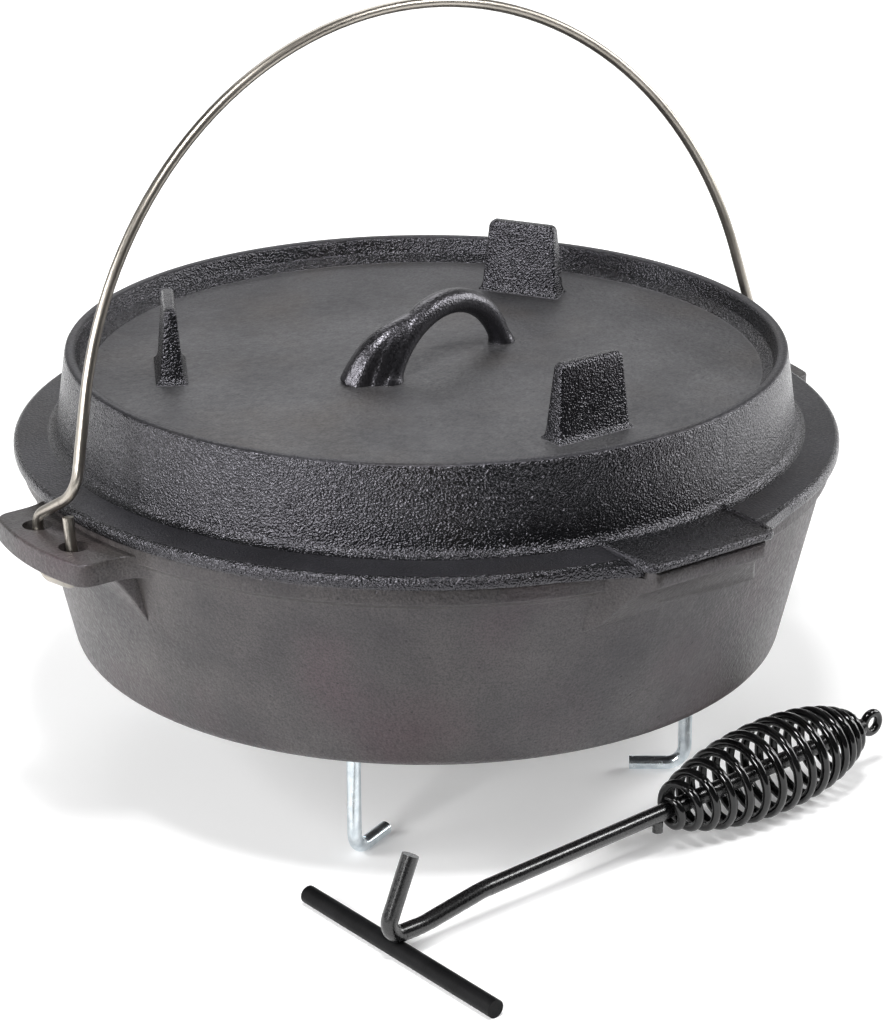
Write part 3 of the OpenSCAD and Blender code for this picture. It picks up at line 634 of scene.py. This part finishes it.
# floor, lights and camera
cameraSize = {"lens": 112.5, "at": (-0.7596, -1.0341, 0.6165), "down": 0.377, "turn": -36.6}
stage = {"floor": "#f4f4f4", "floorGlow": 0.2, "floorSize": 12.0, "floorFront": 0.45, "ambient": 0.2,
         "floorDrop": 0.0002, "whiteFrom": 0.35, "whiteFull": 1.3, "front": (-0.593, -0.805, 0),
         "dimSide": (-0.42, -0.57, 0.7), "dimLevel": 0.05, "dimFrom": -0.85, "dimFull": 0.1, "lampAim": (0, 0, 0.12)}


def makeFloor():
    onlyThis(None)
    back = Vector(stage["front"]) * (stage["floorFront"] - stage["floorSize"] / 2)
    # the table's front edge lies across the view, below the picture
    bpy.ops.mesh.primitive_plane_add(size=stage["floorSize"], location=back - Vector((0, 0, stage["floorDrop"])),
                                     rotation=(0, 0, math.radians(cameraSize["turn"])))
    floor = bpy.context.object
    floor.name = "studioFloor"
    bpy.ops.object.transform_apply(location=True, rotation=True, scale=True)
    material, tree, shader = newMaterial("paleFloor")
    shader.inputs["Base Color"].default_value = hexColor(stage["floor"])
    shader.inputs["Roughness"].default_value = 0.9
    shader.inputs["Specular IOR Level"].default_value = 0.0
    path = addNode(tree, "ShaderNodeLightPath")
    seen = addNode(tree, "ShaderNodeMath", {"operation": "MAXIMUM"},
                   {0: path.outputs["Is Camera Ray"], 1: path.outputs["Is Glossy Ray"]}).outputs[0]
    # away from the oven the lamps reach it less, and it stays white
    place = addNode(tree, "ShaderNodeTexCoord").outputs["Object"]
    away = addNode(tree, "ShaderNodeVectorMath", {"operation": "LENGTH"}, {0: place}).outputs["Value"]
    white = addNode(tree, "ShaderNodeMapRange", {"From Min": stage["whiteFrom"], "From Max": stage["whiteFull"],
                                                 "To Min": stage["floorGlow"], "To Max": 1.0},
                    {"Value": away}).outputs["Result"]
    glow = addNode(tree, "ShaderNodeMath", {"operation": "MULTIPLY"}, {0: seen, 1: white}).outputs[0]
    light = addNode(tree, "ShaderNodeEmission", links={"Strength": glow})
    both = addNode(tree, "ShaderNodeAddShader", links={0: shader.outputs[0], 1: light.outputs[0]})
    tree.links.new(both.outputs[0], tree.nodes["Material Output"].inputs["Surface"])
    dress(floor, material)


def makeWorld():
    world = bpy.data.worlds.new("studio")
    bpy.context.scene.world = world
    world.use_nodes = True
    tree = world.node_tree
    back = tree.nodes["Background"]
    back.inputs["Color"].default_value = hexColor("#ffffff")
    path = addNode(tree, "ShaderNodeLightPath")
    seen = path.outputs["Is Camera Ray"]
    for ray in ("Is Glossy Ray", "Is Transmission Ray"):
        seen = addNode(tree, "ShaderNodeMath", {"operation": "MAXIMUM"}, {0: seen, 1: path.outputs[ray]}).outputs[0]
    level = addNode(tree, "ShaderNodeMapRange", {"To Min": stage["ambient"], "To Max": 1.0}, {"Value": seen})
    # the room is pale behind the oven, darker beside it, dim in front of it and above
    way = addNode(tree, "ShaderNodeTexCoord").outputs["Generated"]
    ahead = addNode(tree, "ShaderNodeVectorMath", {"operation": "DOT_PRODUCT", 1: stage["dimSide"]}, {0: way})
    room = addNode(tree, "ShaderNodeMapRange", {"From Min": stage["dimFrom"], "From Max": stage["dimFull"],
                                                "To Min": 1.0, "To Max": stage["dimLevel"]},
                   {"Value": ahead.outputs["Value"]})
    dimmed = addNode(tree, "ShaderNodeMath", {"operation": "MULTIPLY"},
                     {0: level.outputs["Result"], 1: room.outputs["Result"]}).outputs[0]
    strength = addNode(tree, "ShaderNodeMath", {"operation": "MAXIMUM"},
                       {0: dimmed, 1: path.outputs["Is Camera Ray"]}).outputs[0]
    tree.links.new(strength, back.inputs["Strength"])


lampSizes = {
    "backSoftbox": {"at": (0.5, 0.9, 1.3), "size": 0.9, "watts": 7},
    "leftSoftbox": {"at": (-1.25, 0.25, 0.7), "size": 0.7, "watts": 14},
    "leftKey": {"at": (-1.35, -0.6, 0.55), "size": 0.35, "watts": 13},
    "rightSoftbox": {"at": (1.35, -0.35, 0.6), "size": 0.7, "watts": 10},
    "topSoftbox": {"at": (-0.36, -0.49, 1.35), "size": 0.28, "watts": 13},
    "rightKey": {"at": (0.79, -0.65, 1.06), "size": 0.28, "watts": 6},
}


def makeLamps():
    for name, s in lampSizes.items():
        lamp = bpy.data.lights.new(name, "AREA")
        lamp.size = s["size"]
        lamp.energy = s["watts"]
        obj = bpy.data.objects.new(name, lamp)
        obj.location = s["at"]
        toOven = Vector(stage["lampAim"]) - Vector(s["at"])
        obj.rotation_euler = toOven.to_track_quat("-Z", "Y").to_euler()
        bpy.context.scene.collection.objects.link(obj)


def makeCamera():
    camera = bpy.data.cameras.new("photoCamera")
    camera.lens = cameraSize["lens"]  # the 36 mm sensor lies along the picture's long side
    obj = bpy.data.objects.new("photoCamera", camera)
    obj.location = cameraSize["at"]
    obj.rotation_euler = (math.pi / 2 - cameraSize["down"], 0, math.radians(cameraSize["turn"]))
    bpy.context.scene.collection.objects.link(obj)
    bpy.context.scene.camera = obj


makeFloor()
makeWorld()
makeLamps()
makeCamera()
bpy.context.scene.view_settings.view_transform = "Standard"
print("stage set")
